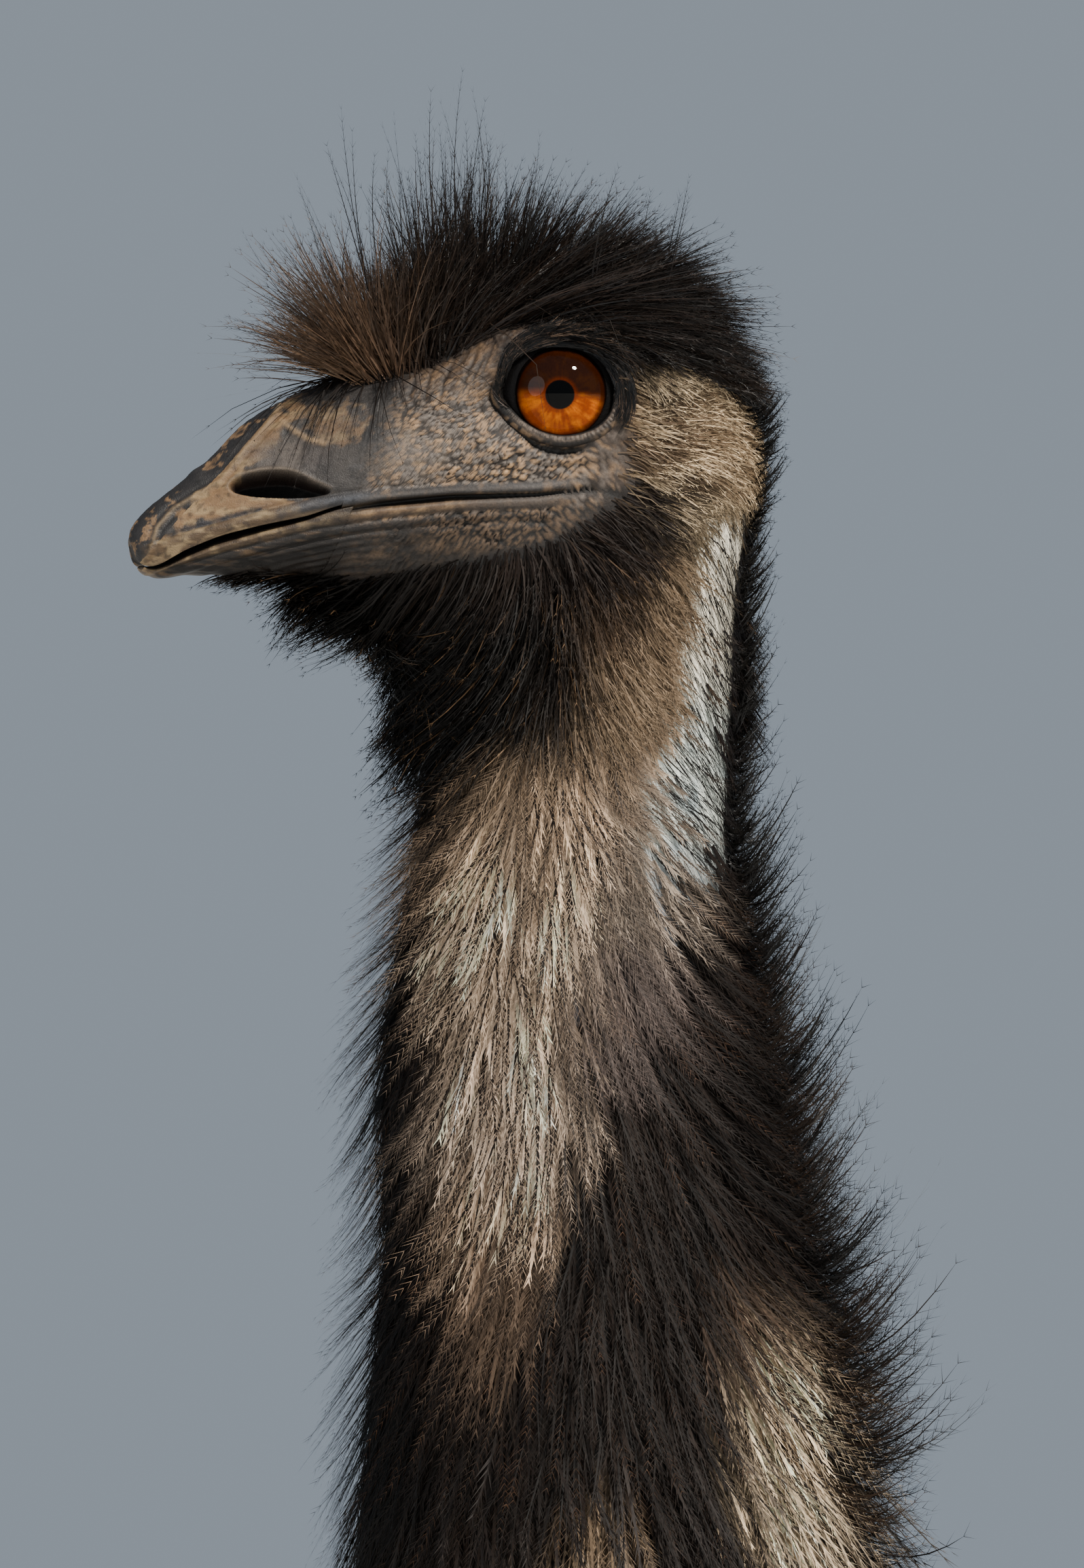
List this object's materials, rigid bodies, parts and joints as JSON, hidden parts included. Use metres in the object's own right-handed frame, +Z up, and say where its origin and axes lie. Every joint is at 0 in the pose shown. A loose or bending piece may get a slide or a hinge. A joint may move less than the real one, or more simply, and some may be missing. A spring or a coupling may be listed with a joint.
{
  "type": "emu",
  "caption": "Life-size standing emu, neck upright: shaggy drooping plumage, small tucked wings, bare scaled shanks and three-toed feet.",
  "frame": {"origin": "on the floor under the middle of the bird's length, width and height box", "axes": "+Z up, the bird faces -Y, its left side is +X"},
  "size_m": [0.421, 0.9202, 1.7154],
  "materials": {
    "plumage_dark": "black-brown hair-like feathers of the crest, face and throat, soft with a slight sheen",
    "plumage_neck": "brown and pale buff feathers with dark shafts over the neck, thin over pale blue-white skin behind",
    "plumage_body": "long shaggy grey-brown plumes with darker tips",
    "bill_horn": "slate-grey horn with tan dried-mud smears and a pale worn edge",
    "eye": "wet amber-orange iris round a black pupil",
    "leg_scales": "grey-brown scaled bare skin with broad scutes down the front",
    "claw_horn": "dark worn horn"
  },
  "bodies": {
    "root": {"head": "plumage_dark", "crest": "plumage_dark", "neck_upper": "plumage_neck", "neck_middle": "plumage_neck", "neck_lower": "plumage_neck", "trunk": "plumage_body", "tail": "plumage_body", "wing_left": "plumage_body", "wing_right": "plumage_body", "leg_left": "plumage_body", "leg_right": "plumage_body", "bill_upper": "bill_horn", "bill_lower": "bill_horn", "eye_left": "eye", "eye_right": "eye", "shank_left": "leg_scales", "toe_middle_left": "leg_scales", "claw_middle_left": "claw_horn", "toe_inner_left": "leg_scales", "claw_inner_left": "claw_horn", "toe_outer_left": "leg_scales", "claw_outer_left": "claw_horn", "shank_right": "leg_scales", "toe_middle_right": "leg_scales", "claw_middle_right": "claw_horn", "toe_inner_right": "leg_scales", "claw_inner_right": "claw_horn", "toe_outer_right": "leg_scales", "claw_outer_right": "claw_horn"}
  },
  "joints": []
}
